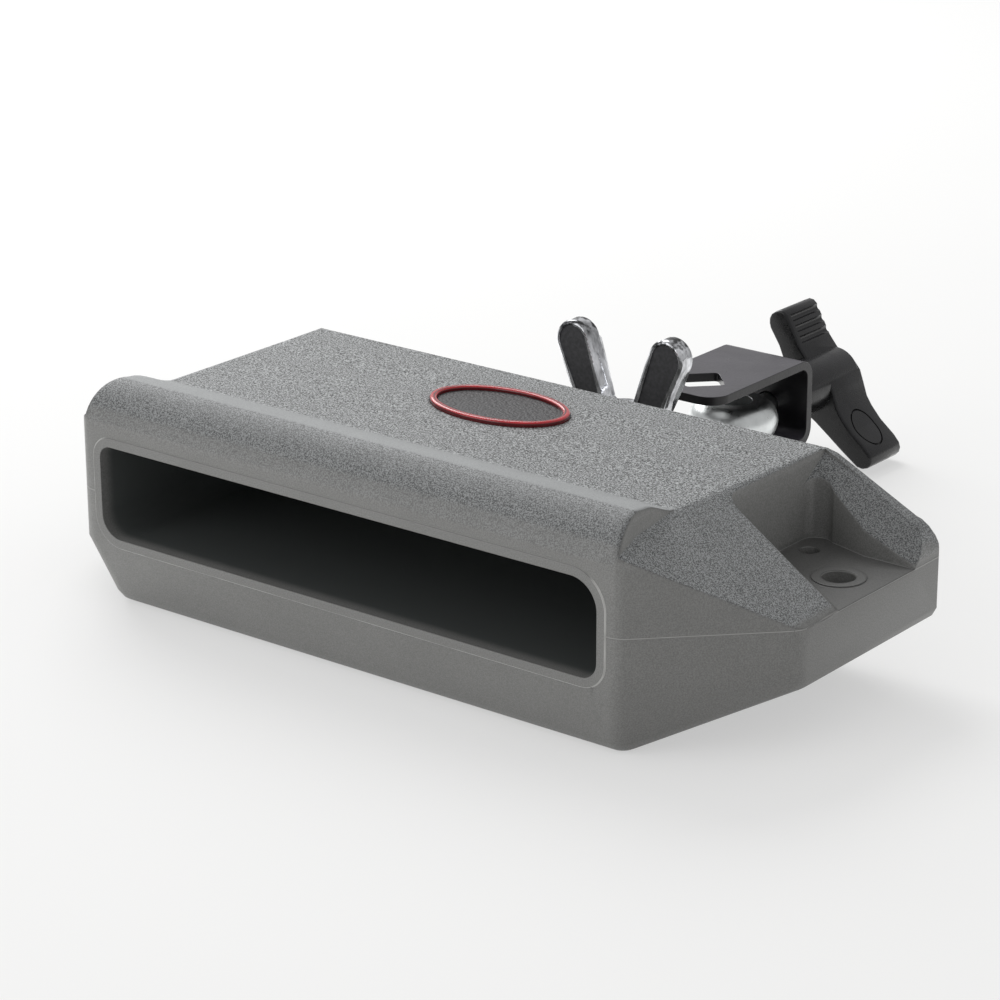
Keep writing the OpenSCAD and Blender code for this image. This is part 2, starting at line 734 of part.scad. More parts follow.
module knob_body() {
    y1 = boss_start + boss_l;
    color([0.05, 0.05, 0.055]) translate([0, -front_to_mid, 0]) difference() {
        union() {
            translate([0, boss_start, eye_z]) rotate([-90, 0, 0])
                cylinder(h = boss_l + 1, r = boss_r, $fn = 64);
            translate([0, y1 + knob_d, eye_z]) rotate([90, 0, 0]) rotate(knob_lean) difference() {
                linear_extrude(height = knob_d) difference() {
                    knob_shape();
                    if (groove_n > 0) for (i = [0 : groove_n - 1])
                        translate([-knob_step + knob_t / 2, knob_up - knob_tip_r - (i + 0.4) * groove_pitch])
                            circle(r = groove_w / 2, $fn = 24);
                }
                // oval recess in the outer face of the lower wing
                translate([knob_step + knob_t / 2 - oval_t, knob_tip_r + oval_a + 3 - knob_down, knob_d / 2])
                    rotate([0, 90, 0]) linear_extrude(height = 2) polygon(ellipse_pts(oval_b, oval_a, 48));
            }
        }
        // insert pocket and shank clearance
        translate([0, boss_start - 1, eye_z]) rotate([-90, 0, 0])
            cylinder(h = insert_l + 1, r = insert_af / 2 / cos(30), $fn = 6);
        translate([0, boss_start, eye_z]) rotate([-90, 0, 0])
            cylinder(h = shank_end - boss_start + back_travel, r = shank_r + knob_clear, $fn = 64);
    }
}

module knob_insert() {
    color([0.76, 0.62, 0.3]) translate([0, boss_start - front_to_mid, eye_z]) rotate([-90, 0, 0])
        difference() {
            cylinder(h = insert_l, r = insert_af / 2 / cos(30), $fn = 6);
            translate([0, 0, -1]) cylinder(h = insert_l + 2, r = shank_r + thread_clear, $fn = 64);
        }
}

block_body();
badge();
bracket();
locating_pin();
bracket_bolt();
flat_washer();
split_washer();
wing_nut();
eye_bolt();
knob_washer();
knob_body();
knob_insert();
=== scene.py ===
import math

import bmesh
import bpy
from bpy.props import FloatProperty, FloatVectorProperty, PointerProperty
from mathutils import Matrix, Vector


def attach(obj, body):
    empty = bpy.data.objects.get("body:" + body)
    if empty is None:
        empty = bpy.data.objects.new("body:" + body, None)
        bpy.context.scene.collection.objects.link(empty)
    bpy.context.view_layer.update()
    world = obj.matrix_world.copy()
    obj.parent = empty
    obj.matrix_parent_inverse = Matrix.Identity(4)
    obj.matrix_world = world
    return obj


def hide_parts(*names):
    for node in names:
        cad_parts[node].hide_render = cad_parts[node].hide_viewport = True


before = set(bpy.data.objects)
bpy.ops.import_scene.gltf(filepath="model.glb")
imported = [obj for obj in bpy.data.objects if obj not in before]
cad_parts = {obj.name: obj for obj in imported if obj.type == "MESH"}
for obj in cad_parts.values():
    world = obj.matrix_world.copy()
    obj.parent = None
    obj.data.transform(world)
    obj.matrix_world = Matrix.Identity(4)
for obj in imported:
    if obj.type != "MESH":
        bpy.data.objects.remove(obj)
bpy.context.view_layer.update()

bl_info = {
    "name": "Woodblock builder",
    "version": (1, 0, 0),
    "blender": (4, 5, 0),
    "location": "View3D > Sidebar > Woodblock",
    "description": "Builds a moulded woodblock with its rod bracket around a packed model",
    "category": "Add Mesh",
}

SEAM = 0.0402               # level of the mould seam and of the ear floors
FRONT = -0.062              # front face along Y
FACE = FRONT + 0.0006       # what lies before this is the front face
TOP_START = FRONT + 0.035   # where the flat top starts behind the lip
CHAMBER_DEPTH = 0.1035      # sound chamber, from the front face to its back wall
CHAMBER_HALF = 0.0985       # its side walls
CHAMBER_LOW = 0.0245        # its floor
CHAMBER_HIGH = 0.0574       # its roof
BADGE_Y = 0.0176            # middle of the badge
BADGE_A = 0.025             # half the badge's width
BADGE_B = 0.0163            # half the badge's depth
RING_EDGE = 0.0008          # rounding of the badge's ring
STRAP_Z = 0.0163            # underside of the bracket
STRAP_TOP = 0.0476          # top of the bracket
STRAP_T = 0.0031            # thickness of the bracket
STRAP_W = 0.033             # width of the bracket
STRAP_FOOT = 0.068          # front end of the lower plate
STRAP_FRONT = 0.114         # front end of the upper plate
LEG_BACK = 0.173            # back face of the bracket's leg
BOLT_Y = 0.084              # bracket bolt and wing nut
PIN_Y = 0.1077              # locating pin
ROD_Y = 0.1294              # middle of the rod opening
WING_RIM = 0.0013           # rounding of the wings' rims
WING_SUNK = 0.0029          # sunk faces from the middle of the wings
EYE_AXIS = 0.0284           # height of the eye bolt
SHANK = 0.004               # radius of the eye bolt's shank
KNOB_FRONT = 0.1746         # front of the knob behind its washer
KNOB_BACK = 0.2161          # back of the knob


# sizes and colours

class BlockLook(bpy.types.PropertyGroup):
    """Finish of the moulded block."""
    smooth: FloatVectorProperty(name="Smooth faces", description="Colour of the smooth moulded faces",
                                subtype="COLOR", size=3, default=(0.184, 0.184, 0.179), min=0, max=1)
    grained: FloatVectorProperty(name="Grained faces", description="Colour of the grained top and webs",
                                 subtype="COLOR", size=3, default=(0.202, 0.208, 0.210), min=0, max=1)
    # painted shade: the colour inside the sound chamber stands for the shade in it
    chamber: FloatVectorProperty(name="Chamber", description="Colour inside the sound chamber",
                                 subtype="COLOR", size=3, default=(0.068, 0.074, 0.073), min=0, max=1)
    grain: FloatProperty(name="Grain size", description="Width of one grain of the texture",
                         subtype="DISTANCE", unit="LENGTH", default=0.00062, min=0.0001, max=0.002)
    soft: FloatProperty(name="Soft edges", description="Radius over which every moulded edge shades softly",
                        subtype="DISTANCE", unit="LENGTH", default=0.0012, min=0.0001, max=0.003)
    edge: FloatProperty(name="Edge rounding", description="Largest rounding of the moulded edges",
                        subtype="DISTANCE", unit="LENGTH", default=0.002, min=0.0002, max=0.004)


class BadgeLook(bpy.types.PropertyGroup):
    """Oval badge on the top."""
    ring: FloatVectorProperty(name="Ring", description="Colour of the raised ring", subtype="COLOR", size=3,
                              default=(0.42, 0.012, 0.020), min=0, max=1)
    # painted shade: the plate is darker than the block's grey plastic, for the shade of the ring and the
    # letters
    plate: FloatVectorProperty(name="Plate", description="Colour of the bare plate", subtype="COLOR", size=3,
                               default=(0.027, 0.026, 0.028), min=0, max=1)


class MetalLook(bpy.types.PropertyGroup):
    """Finishes of the metal pieces."""
    coat: FloatVectorProperty(name="Powder coat", description="Colour of the bracket", subtype="COLOR",
                              size=3, default=(0.016, 0.015, 0.018), min=0, max=1)
    chrome: FloatVectorProperty(name="Chrome", description="Colour of the wing nut", subtype="COLOR", size=3,
                                default=(0.80, 0.81, 0.84), min=0, max=1)
    zinc: FloatVectorProperty(name="Zinc", description="Colour of the eye bolt and washers", subtype="COLOR",
                              size=3, default=(0.62, 0.64, 0.64), min=0, max=1)
    spring: FloatVectorProperty(name="Spring steel", description="Colour of the split washer",
                                subtype="COLOR", size=3, default=(0.30, 0.30, 0.31), min=0, max=1)
    brass: FloatVectorProperty(name="Brass", description="Colour of the knob insert", subtype="COLOR",
                               size=3, default=(0.66, 0.46, 0.18), min=0, max=1)
    bend: FloatProperty(name="Bracket bend", description="Outside radius of the bracket's bends",
                        subtype="DISTANCE", unit="LENGTH", default=0.0065, min=0.004, max=0.012)
    corner: FloatProperty(name="Bracket corner", description="Plan radius of the bracket's corners",
                          subtype="DISTANCE", unit="LENGTH", default=0.0075, min=0.001, max=0.012)


class KnobLook(bpy.types.PropertyGroup):
    """Moulded clamp knob."""
    plastic: FloatVectorProperty(name="Knob plastic", description="Colour of the knob", subtype="COLOR",
                                 size=3, default=(0.009, 0.009, 0.010), min=0, max=1)
    edge: FloatProperty(name="Knob edge", description="Rounding of the knob's edges", subtype="DISTANCE",
                        unit="LENGTH", default=0.0009, min=0.0002, max=0.003)
    depth: FloatProperty(name="Wing depth", description="Depth of the wings along the knob's axis",
                         subtype="DISTANCE", unit="LENGTH", default=0.0205, min=0.01, max=0.025)
    boss: FloatProperty(name="Boss radius", description="Radius of the round boss", subtype="DISTANCE",
                        unit="LENGTH", default=0.0098, min=0.008, max=0.012)
    groove: FloatProperty(name="Grip grooves", description="Radius of the grip grooves", subtype="DISTANCE",
                          unit="LENGTH", default=0.0014, min=0.0003, max=0.0015)
    lean: FloatProperty(name="Lean", description="Lean of the knob at rest", subtype="ANGLE",
                        default=math.radians(29), min=0, max=1.6)


class StageLook(bpy.types.PropertyGroup):
    """Floor, light and camera."""
    floor: FloatVectorProperty(name="Floor", description="Colour of the floor", subtype="COLOR", size=3,
                               default=(0.86, 0.86, 0.85), min=0, max=1)
    glow: FloatProperty(name="Floor glow", description="White that the camera adds to the floor",
                        default=0.5, min=0, max=1)
    shade: FloatProperty(name="Floor shade", description="Share of the floor's colour that the camera sees",
                         default=0.46, min=0, max=1)
    world: FloatProperty(name="Sky light", description="Strength of the even studio light", default=0.6,
                         min=0, max=2)
    key: FloatProperty(name="Key light", description="Power of the large soft lamp", subtype="POWER",
                       unit="POWER", default=15.5, min=0, max=200)
    fill: FloatProperty(name="Fill light", description="Power of the weak lamp in front", subtype="POWER",
                        unit="POWER", default=4.0, min=0, max=100)
    lens: FloatProperty(name="Lens", description="Focal length", subtype="DISTANCE_CAMERA", default=122.69,
                        min=20, max=300)


def look(group):
    """The settings of one property group."""
    return getattr(bpy.context.scene, "woodblock_" + group)


# materials

class Finish:
    """One procedural material and the nodes that are added to it."""

    def __init__(self, name, colour, roughness, metallic=0.0, **sockets):
        self.material = bpy.data.materials.new(name)
        self.material.use_nodes = True
        self.nodes = self.material.node_tree.nodes
        self.links = self.material.node_tree.links
        self.shader = self.nodes["Principled BSDF"]
        self.shader.inputs["Base Color"].default_value = (*colour, 1)
        self.shader.inputs["Roughness"].default_value = roughness
        self.shader.inputs["Metallic"].default_value = metallic
        for key, value in sockets.items():
            self.shader.inputs[key.replace("_", " ")].default_value = value
        self.place = self.add("ShaderNodeTexCoord").outputs["Object"]

    def add(self, kind, inputs=None, **settings):
        """A new node; its inputs take a number, a colour or another node's output."""
        node = self.nodes.new(kind)
        for key, value in settings.items():
            setattr(node, key, value)
        for key, value in (inputs or {}).items():
            if isinstance(value, bpy.types.NodeSocket):
                self.links.new(value, node.inputs[key])
            else:
                node.inputs[key].default_value = value
        return node

    def math(self, operation, a, b=0.0, c=0.0):
        return self.add("ShaderNodeMath", {0: a, 1: b, 2: c}, operation=operation).outputs[0]

    def times(self, *factors):
        """The product of two factors or more."""
        product = factors[0]
        for factor in factors[1:]:
            product = self.math("MULTIPLY", product, factor)
        return product

    def off(self, value, middle=0.0):
        """How far a value lies from a middle."""
        return self.math("ABSOLUTE", self.math("SUBTRACT", value, middle))

    def step(self, value, low, high):
        """0 at low, 1 at high, smooth between."""
        return self.add("ShaderNodeMapRange", {"Value": value, "From Min": low, "From Max": high},
                        interpolation_type="SMOOTHSTEP").outputs["Result"]

    def spread(self, value, low, high, to_low, to_high):
        """The range from low to high moved to another range, and held at its ends."""
        return self.add("ShaderNodeMapRange", {"Value": value, "From Min": low, "From Max": high,
                                               "To Min": to_low, "To Max": to_high}).outputs["Result"]

    def where(self, mask, factor):
        """1 where a mask is 0, and the factor where it is 1."""
        return self.spread(mask, 0, 1, 1.0, factor)

    def noise(self, size, detail=2.0, roughness=0.5, vector=None):
        """Noise with blotches of about size metres."""
        return self.add("ShaderNodeTexNoise", {"Vector": vector or self.place, "Scale": 1 / size,
                                               "Detail": detail, "Roughness": roughness}).outputs["Fac"]

    def cloud(self, size, low, high, detail=2.0, roughness=0.5):
        """Cloudy change from low to high, with blotches of about size metres."""
        return self.spread(self.noise(size, detail, roughness), 0.3, 0.7, low, high)

    def mix(self, factor, a, b):
        """Colour a where the factor is 0, b where it is 1."""
        return self.add("ShaderNodeMix", {0: factor, 6: a, 7: b}, data_type="RGBA").outputs[2]

    def mix_value(self, factor, a, b):
        """Number a where the factor is 0, b where it is 1."""
        return self.add("ShaderNodeMix", {0: factor, 2: a, 3: b}).outputs[0]

    def scale(self, colour, factor):
        """Colour made lighter or darker by a factor."""
        if not isinstance(colour, bpy.types.NodeSocket):
            colour = tuple(colour)
        node = self.add("ShaderNodeVectorMath", {0: colour, "Scale": factor}, operation="SCALE")
        return node.outputs["Vector"]

    def xyz(self, vector):
        return self.add("ShaderNodeSeparateXYZ", {0: vector}).outputs

    def facing(self):
        """X, Y and Z of the direction that the surface looks in."""
        return self.xyz(self.add("ShaderNodeNewGeometry").outputs["Normal"])

    def bump(self, height, distance, strength, normal=None):
        node = self.add("ShaderNodeBump", {"Height": height, "Distance": distance, "Strength": strength})
        if normal is not None:
            self.links.new(normal, node.inputs["Normal"])
        return node.outputs["Normal"]

    def to(self, socket, value):
        self.links.new(value, self.shader.inputs[socket])


def moulded_plastic():
    """Grey plastic: smooth front, speckled grain on the top, the webs and the lip's shoulder."""
    b = look("block")
    f = Finish("block_plastic", b.smooth, 0.5, Specular_IOR_Level=0.42)
    x, y, z = f.xyz(f.place)
    nx, ny, nz = f.facing()
    side, sideways = f.off(x), f.off(nx)
    # grained where the face looks up and lies above the seam, fainter on the slopes that look sideways
    above = f.step(z, SEAM + 0.0005, SEAM + 0.0022)
    grained = f.times(f.step(nz, 0.38, 0.62), above)
    faint = f.math("MAXIMUM", grained, f.times(f.step(nz, 0.05, 0.16), above, 0.35))
    flat = f.times(f.step(nz, 0.93, 0.99), f.step(y, TOP_START - 0.007, TOP_START))
    fine = f.noise(b.grain * 0.68, 2.0, 0.75)
    coarse = f.noise(b.grain * 0.95, 2.0, 0.75)
    speck = f.mix_value(f.spread(flat, 0, 1, 0.15, 0.5), fine, coarse)
    # the lip: painted shade darkens the shoulder in front; a painted highlight makes the almost smooth
    # fillet behind it pale
    lip = f.step(y, TOP_START + 0.003, TOP_START - 0.004)
    shoulder = f.step(ny, -0.12, -0.35)
    fillet = f.times(f.step(ny, 0.03, 0.12), f.step(nz, 0.4, 0.7), lip)
    strength = f.times(f.math("MULTIPLY_ADD", flat, 0.36, 0.6), f.where(fillet, 0.2))
    light = f.math("MULTIPLY_ADD", f.spread(speck, 0.44, 0.56, -1.0, 1.0), strength, 1.0)
    # single pale grains on the top
    light = f.math("MULTIPLY_ADD", flat, f.spread(speck, 0.57, 0.66, 0.0, 0.9), light)
    # painted shade darkens the back webs; it joins the lip's painted shade and highlight in one factor
    back_web = f.times(f.step(y, FRONT + 0.080, FRONT + 0.088), f.step(side, 0.103, 0.106))
    painted_shading = f.times(f.where(shoulder, 0.84), f.where(fillet, 1.5), f.where(back_web, 0.82))
    cloud = f.cloud(0.018, 0.97, 1.03)
    rough_colour = f.scale(b.grained, f.times(light, painted_shading, cloud))
    # the smooth faces: a fine mottle, and painted shade that darkens the faces that look sideways
    mottle_and_side_shade = f.times(f.spread(fine, 0.38, 0.62, 0.82, 1.18), f.spread(sideways, 0.15, 0.6, 1.0, 0.88))
    colour = f.mix(faint, f.scale(b.smooth, f.times(mottle_and_side_shade, cloud)), rough_colour)
    # a thin pale line where the two mould halves meet on the outer walls
    seam = f.times(f.step(f.off(z, SEAM), 0.00035, 0.00008), f.step(side, 0.0995, 0.1005),
                   f.math("LESS_THAN", f.off(nz), 0.35))
    colour = f.mix(seam, colour, f.scale(b.smooth, 1.6))
    # painted highlight along the edge of the raised frame round the slot: strong along its lower edge and
    # sides, faint along its top
    line, pale = slot_frame_highlight(f, x, y, z, side)
    colour = f.mix(line, colour, f.scale(b.smooth, f.mix_value(pale, 1.2, 2.6)))
    # painted shade: the sound chamber is painted darker, past the mouth
    inside = f.times(f.step(y, FRONT + 0.0012, FRONT + 0.006),
                     f.math("LESS_THAN", y, FRONT + CHAMBER_DEPTH),
                     f.step(side, CHAMBER_HALF, CHAMBER_HALF - 0.001),
                     f.step(z, CHAMBER_LOW, CHAMBER_LOW + 0.0011),
                     f.step(z, CHAMBER_HIGH, CHAMBER_HIGH - 0.0011))
    colour = f.mix(inside, colour, (*b.chamber, 1))
    # painted shade darkens the ear floors; painted light makes the lip's ends and the pockets' end walls
    # lighter, where they catch light from the floors
    floors = f.times(f.step(side, 0.1005, 0.1025), f.math("LESS_THAN", z, SEAM + 0.0006),
                     f.math("GREATER_THAN", nz, 0.9))
    ends = f.times(f.step(side, 0.093, 0.096), f.step(z, 0.060, 0.064))
    facets = f.times(ends, lip, f.step(sideways, 0.45, 0.7))
    walls = f.times(f.step(sideways, 0.6, 0.8), f.step(y, TOP_START + 0.005, TOP_START + 0.010),
                    above, f.step(side, 0.096, 0.098))
    for mask, factor in ((floors, 0.58), (facets, 1.28), (walls, 1.3)):
        colour = f.mix(mask, colour, f.scale(colour, factor))
    f.to("Base Color", colour)
    f.to("Roughness", f.spread(grained, 0, 1, 0.46, 0.62))
    # the lip's ends shade very softly, the slot's rim hardly
    reach = f.times(f.where(ends, 3.2), f.where(f.math("LESS_THAN", y, FACE), 0.2), b.soft)
    soft = f.add("ShaderNodeBevel", {"Radius": reach}, samples=6).outputs["Normal"]
    height = f.math("MULTIPLY_ADD", seam, 0.8, f.times(speck, f.spread(faint, 0, 1, 0.05, 1.0)))
    f.to("Normal", f.bump(height, 0.00025, 0.9, soft))
    return f.material


def slot_frame_highlight(f, x, y, z, side):
    """Where the painted highlight along the edge of the raised frame round the slot runs, and where it is
    strongest.
    """
    half, middle, tall = 0.1002, 0.0409, 0.0182
    right = f.math("GREATER_THAN", x, 0.0)
    upper = f.math("GREATER_THAN", z, middle)
    # the four corners have radii of their own
    corner = f.mix_value(upper, f.mix_value(right, 0.0106, 0.0086), f.mix_value(right, 0.0072, 0.0124))
    out, up = [f.math("MAXIMUM", f.math("ADD", f.math("SUBTRACT", reach, limit), corner), 0.0)
               for reach, limit in ((side, half), (f.off(z, middle), tall))]
    from_corner = f.math("SQRT", f.math("MULTIPLY_ADD", out, out, f.times(up, up)))
    line = f.times(f.step(f.off(from_corner, corner), 0.00030, 0.00012), f.math("LESS_THAN", y, FACE))
    # the painted highlight is strongest along the lower edge and the sides, varied by noise
    pale = f.math("MAXIMUM", f.step(z, 0.0560, 0.0530), f.step(side, 0.094, 0.097))
    return line, f.times(pale, f.spread(f.noise(0.012), 0.38, 0.52, 0.4, 1.0))


def black_coat():
    """Black powder coat with a fine orange peel."""
    m = look("metal")
    f = Finish("black_coat", m.coat, 0.33, Specular_IOR_Level=0.25, Coat_Weight=0.12, Coat_Roughness=0.15)
    # painted reflection: faces that look up are painted lighter and the sides darker
    level = f.times(f.cloud(0.012, 0.85, 1.15), f.spread(f.facing()[2], 0.3, 0.9, 0.45, 3.4))
    f.to("Base Color", f.scale(m.coat, level))
    f.to("Roughness", f.cloud(0.006, 0.27, 0.40, 3.0))
    f.to("Normal", f.bump(f.noise(0.0009), 0.00012, 0.5))
    return f.material


def chrome_painted_reflections():
    """Polished chrome with painted reflections: its colour is streaked dark and blotched dark at the wings'
    tips.
    """
    m = look("metal")
    f = Finish("chrome_painted_reflections", m.chrome, 0.12, 1.0)
    # painted reflection: the colour is streaked dark by noise stretched upright and blotched dark at the
    # wings' tips
    upright = f.add("ShaderNodeMapping", {"Vector": f.place, "Scale": (1.0, 1.0, 0.45)}).outputs["Vector"]
    cloud = f.spread(f.noise(0.0045, 3.0, 0.6, upright), 0.35, 0.65, 0.35, 1.0)
    dark_reflection_blots = f.spread(f.noise(0.0028), 0.44, 0.56, 0.12, 1.0)
    tip = f.step(f.xyz(f.place)[2], 0.0722, 0.0745)
    f.to("Base Color", f.scale(m.chrome, f.times(cloud, f.mix_value(tip, 1.0, dark_reflection_blots))))
    f.to("Roughness", f.cloud(0.004, 0.08, 0.24, 3.0))
    f.to("Normal", f.bump(f.noise(0.003), 0.0006, 0.35))
    return f.material


def dark_reflection_face():
    """Flat faces sunk in the wings, painted dark as a dark reflection in the chrome."""
    grey = (0.062, 0.062, 0.066)
    f = Finish("wing_face", grey, 0.36, 0.3)
    f.to("Base Color", f.scale(grey, f.cloud(0.0011, 0.8, 1.25, 3.0)))
    f.to("Normal", f.bump(f.noise(0.0007), 0.0001, 0.4))
    return f.material


def turned_metal(name, colour, roughness):
    """Plated or bare metal with faint turning marks."""
    f = Finish(name, colour, roughness, 1.0)
    marks = f.noise(0.0016, 3.0, 0.6)
    f.to("Base Color", f.scale(colour, f.cloud(0.007, 0.86, 1.08, 3.0, 0.6)))
    f.to("Roughness", f.spread(marks, 0.25, 0.75, roughness * 0.75, roughness * 1.4))
    f.to("Normal", f.bump(marks, 0.00004, 0.2))
    return f.material


def knob_plastic():
    """Black moulded plastic, satin."""
    k = look("knob")
    f = Finish("knob_plastic", k.plastic, 0.28, Specular_IOR_Level=0.32)
    # painted sheen: faces that look up are painted lighter and the sides darker
    level = f.times(f.cloud(0.009, 0.8, 1.25), f.spread(f.facing()[2], 0.0, 0.8, 0.6, 1.7))
    f.to("Base Color", f.scale(k.plastic, level))
    f.to("Roughness", f.cloud(0.003, 0.2, 0.34, 3.0))
    f.to("Normal", f.bump(f.noise(0.0006), 0.0001, 0.25))
    return f.material


def ring_enamel():
    """Glossy red of the badge ring, with painted shade along a thin line round its middle and on its outer
    walls.
    """
    b = look("badge")
    f = Finish("ring_enamel", b.ring, 0.2, Specular_IOR_Level=0.4, Coat_Weight=0.3, Coat_Roughness=0.08)
    x, y = f.xyz(f.place)[:2]
    across = f.math("DIVIDE", x, BADGE_A)
    along = f.math("DIVIDE", f.math("SUBTRACT", y, BADGE_Y), BADGE_B)
    oval = f.add("ShaderNodeCombineXYZ", {0: across, 1: along}).outputs[0]
    reach = f.add("ShaderNodeVectorMath", {0: oval}, operation="LENGTH").outputs["Value"]
    # painted shade: a thin dark line round the ring's middle, and dark outer walls
    line = f.step(f.off(reach, 0.935), 0.009, 0.015)
    wall = f.step(f.facing()[2], 0.25, 0.7)
    level = f.times(f.cloud(0.005, 0.85, 1.12, 3.0), f.spread(line, 0, 1, 0.25, 1.1),
                    f.spread(wall, 0, 1, 0.22, 1.0))
    f.to("Base Color", f.scale(b.ring, level))
    f.to("Normal", f.bump(f.noise(0.0016), 0.0002, 0.25))
    return f.material


def badge_plate():
    """Pebbled plate of the badge, painted darker than the block's grey plastic as the shade of its ring and
    letters.
    """
    b = look("badge")
    f = Finish("badge_plate", b.plate, 0.5, Specular_IOR_Level=0.3)
    pebbles = f.add("ShaderNodeTexVoronoi", {"Vector": f.place, "Scale": 1100.0}, feature="F1")
    cells = pebbles.outputs["Distance"]
    f.to("Base Color", f.scale(b.plate, f.spread(cells, 0.1, 0.7, 1.9, 0.6)))
    f.to("Normal", f.bump(cells, -0.00018, 0.8))
    return f.material


# meshes

def link(mesh, name, materials, body):
    """A mesh as a finished piece that rides on a body."""
    piece = bpy.data.objects.new(name, mesh)
    bpy.context.scene.collection.objects.link(piece)
    for material in materials:
        mesh.materials.append(material)
    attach(piece, body)
    return piece


def join_flat(bm, gap):
    """Joins points that lie within a gap, and makes flat faces whole."""
    bmesh.ops.remove_doubles(bm, verts=bm.verts, dist=gap)
    bmesh.ops.dissolve_limit(bm, angle_limit=math.radians(0.4), verts=bm.verts, edges=bm.edges,
                             delimit=set())


def merged_copy(node, gap=2e-6):
    """A bmesh of a CAD node with its loose triangles joined and its flat faces whole."""
    bm = bmesh.new()
    bm.from_mesh(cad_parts[node].data)
    join_flat(bm, gap)
    return bm


def as_mesh(bm, name, degrees=32):
    """The finished mesh of a bmesh, smooth but for the edges over an angle."""
    for face in bm.faces:
        face.smooth = True
    for edge in bm.edges:
        if len(edge.link_faces) == 2:
            edge.smooth = edge.calc_face_angle(0) < math.radians(degrees)
    mesh = bpy.data.meshes.new(name)
    bm.to_mesh(mesh)
    bm.free()
    return mesh


def rounded(piece, width, segments=3, degrees=32, by_weight=False):
    """A Bevel modifier on the edges over an angle, or on those with a bevel weight."""
    bevel = piece.modifiers.new("rounding", "BEVEL")
    bevel.width = width
    bevel.segments = segments
    bevel.limit_method = "WEIGHT" if by_weight else "ANGLE"
    bevel.angle_limit = math.radians(degrees)
    bevel.use_clamp_overlap = not by_weight
    bevel.miter_outer = "MITER_ARC"
    bevel.harden_normals = True


def weigh(bm, largest, radius_of):
    """Bevel weights from a rounding radius that is worked out for each sharp edge."""
    layer = bm.edges.layers.float.new("bevel_weight_edge")
    for edge in bm.edges:
        if len(edge.link_faces) == 2 and edge.calc_face_angle(0) > math.radians(24):
            edge[layer] = min(1, radius_of(edge) / largest)


def stand_in(node, name, material, body, width, segments=3):
    """A copy of a CAD node with rounded edges that stands for the node."""
    piece = link(as_mesh(merged_copy(node), name), name, [material], body)
    rounded(piece, width, segments)
    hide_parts(node)


def prism(outline, depth, place, corners=()):
    """A bmesh of an outline pushed out along +Z and then put in place; corners are (index, radius)."""
    bm = bmesh.new()
    points = [bm.verts.new((u, v, 0)) for u, v in outline]
    bm.faces.new(points)
    for index, radius in corners:
        bmesh.ops.bevel(bm, geom=[points[index]], offset=radius, offset_type="OFFSET", segments=8,
                        profile=0.5, affect="VERTICES", clamp_overlap=False, material=-1)
    pushed = bmesh.ops.extrude_face_region(bm, geom=bm.faces[:])["geom"]
    ends = [g for g in pushed if isinstance(g, bmesh.types.BMVert)]
    bmesh.ops.translate(bm, vec=(0, 0, depth), verts=ends)
    bmesh.ops.recalc_face_normals(bm, faces=bm.faces[:])
    bmesh.ops.transform(bm, matrix=place, verts=bm.verts[:])
    return bm


def soften(bm, radius):
    """Rounds the edges over 60 degrees for good."""
    sharp = [e for e in bm.edges
             if len(e.link_faces) == 2 and e.calc_face_angle(0) > math.radians(60)]
    bmesh.ops.bevel(bm, geom=sharp, offset=radius, offset_type="OFFSET", segments=4, profile=0.5,
                    affect="EDGES", clamp_overlap=False, material=-1)


def square(half):
    """Corners of a square."""
    return [(-half, -half), (half, -half), (half, half), (-half, half)]


def ellipse(a, b):
    """Points of an ellipse."""
    turns = [math.tau * i / 48 for i in range(48)]
    return [(a * math.cos(turn), b * math.sin(turn)) for turn in turns]


def rod(radius, start, end, segments=64):
    """A bmesh of a round or many-sided rod between two points."""
    start, end = Vector(start), Vector(end)
    along = end - start
    bm = bmesh.new()
    bmesh.ops.create_cone(bm, cap_ends=True, segments=segments, radius1=radius, radius2=radius,
                          depth=along.length)
    turn = along.to_track_quat("Z", "Y").to_matrix().to_4x4()
    bmesh.ops.transform(bm, matrix=Matrix.Translation((start + end) / 2) @ turn, verts=bm.verts[:])
    return bm


def combined(bm, others, operation):
    """A bmesh with others joined to it or cut out of it."""
    def helper(source):
        mesh = bpy.data.meshes.new("helper")
        source.to_mesh(mesh)
        source.free()
        thing = bpy.data.objects.new("helper", mesh)
        bpy.context.scene.collection.objects.link(thing)
        return thing

    base = helper(bm)
    tools = [helper(other) for other in others]
    for tool in tools:
        cut = base.modifiers.new("cut", "BOOLEAN")
        cut.operation = operation
        cut.solver = "EXACT"
        cut.object = tool
    done = bpy.data.meshes.new_from_object(base.evaluated_get(bpy.context.evaluated_depsgraph_get()))
    result = bmesh.new()
    result.from_mesh(done)
    bpy.data.meshes.remove(done)
    for thing in (base, *tools):
        bpy.data.objects.remove(thing)
    join_flat(result, 2e-6)
    if not result.faces:
        raise RuntimeError("joining or cutting left no faces")
    return result


# pieces

